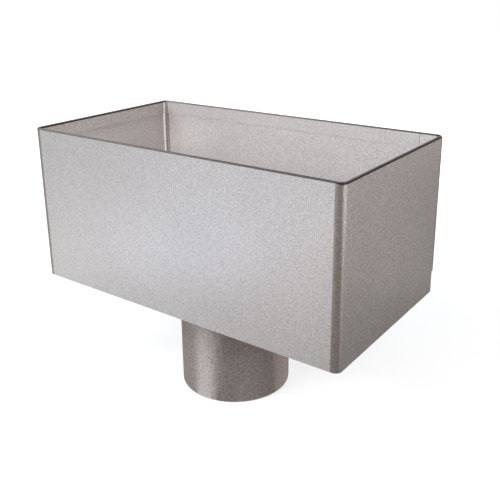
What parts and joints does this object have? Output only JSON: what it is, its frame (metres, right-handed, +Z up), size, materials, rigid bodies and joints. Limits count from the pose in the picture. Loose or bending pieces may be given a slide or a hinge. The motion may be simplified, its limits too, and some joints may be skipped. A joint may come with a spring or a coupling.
{
  "type": "rainwater hopper",
  "caption": "Rectangular open-topped sheet metal rainwater hopper with a hemmed rim, soldered seams and a round outlet spigot under its base.",
  "frame": {"origin": "centre of the outlet spigot's lower end", "axes": "+X along the hopper's length, -Y out of its front, +Y towards the wall it hangs on, +Z up out of its open top"},
  "size_m": [0.31, 0.1712, 0.235],
  "materials": {
    "wall_sheet": "satin light grey metal sheet with a fine grain",
    "base_sheet": "satin light grey metal sheet with a fine grain",
    "outlet_tube": "satin grey metal tube",
    "solder": "dull grey soft solder, smooth run"
  },
  "bodies": {
    "root": {"hopper_body": "wall_sheet", "base_pan": "base_sheet", "outlet_spigot": "outlet_tube", "lap_solder": "solder", "base_solder": "solder", "outlet_solder": "solder"}
  },
  "joints": []
}
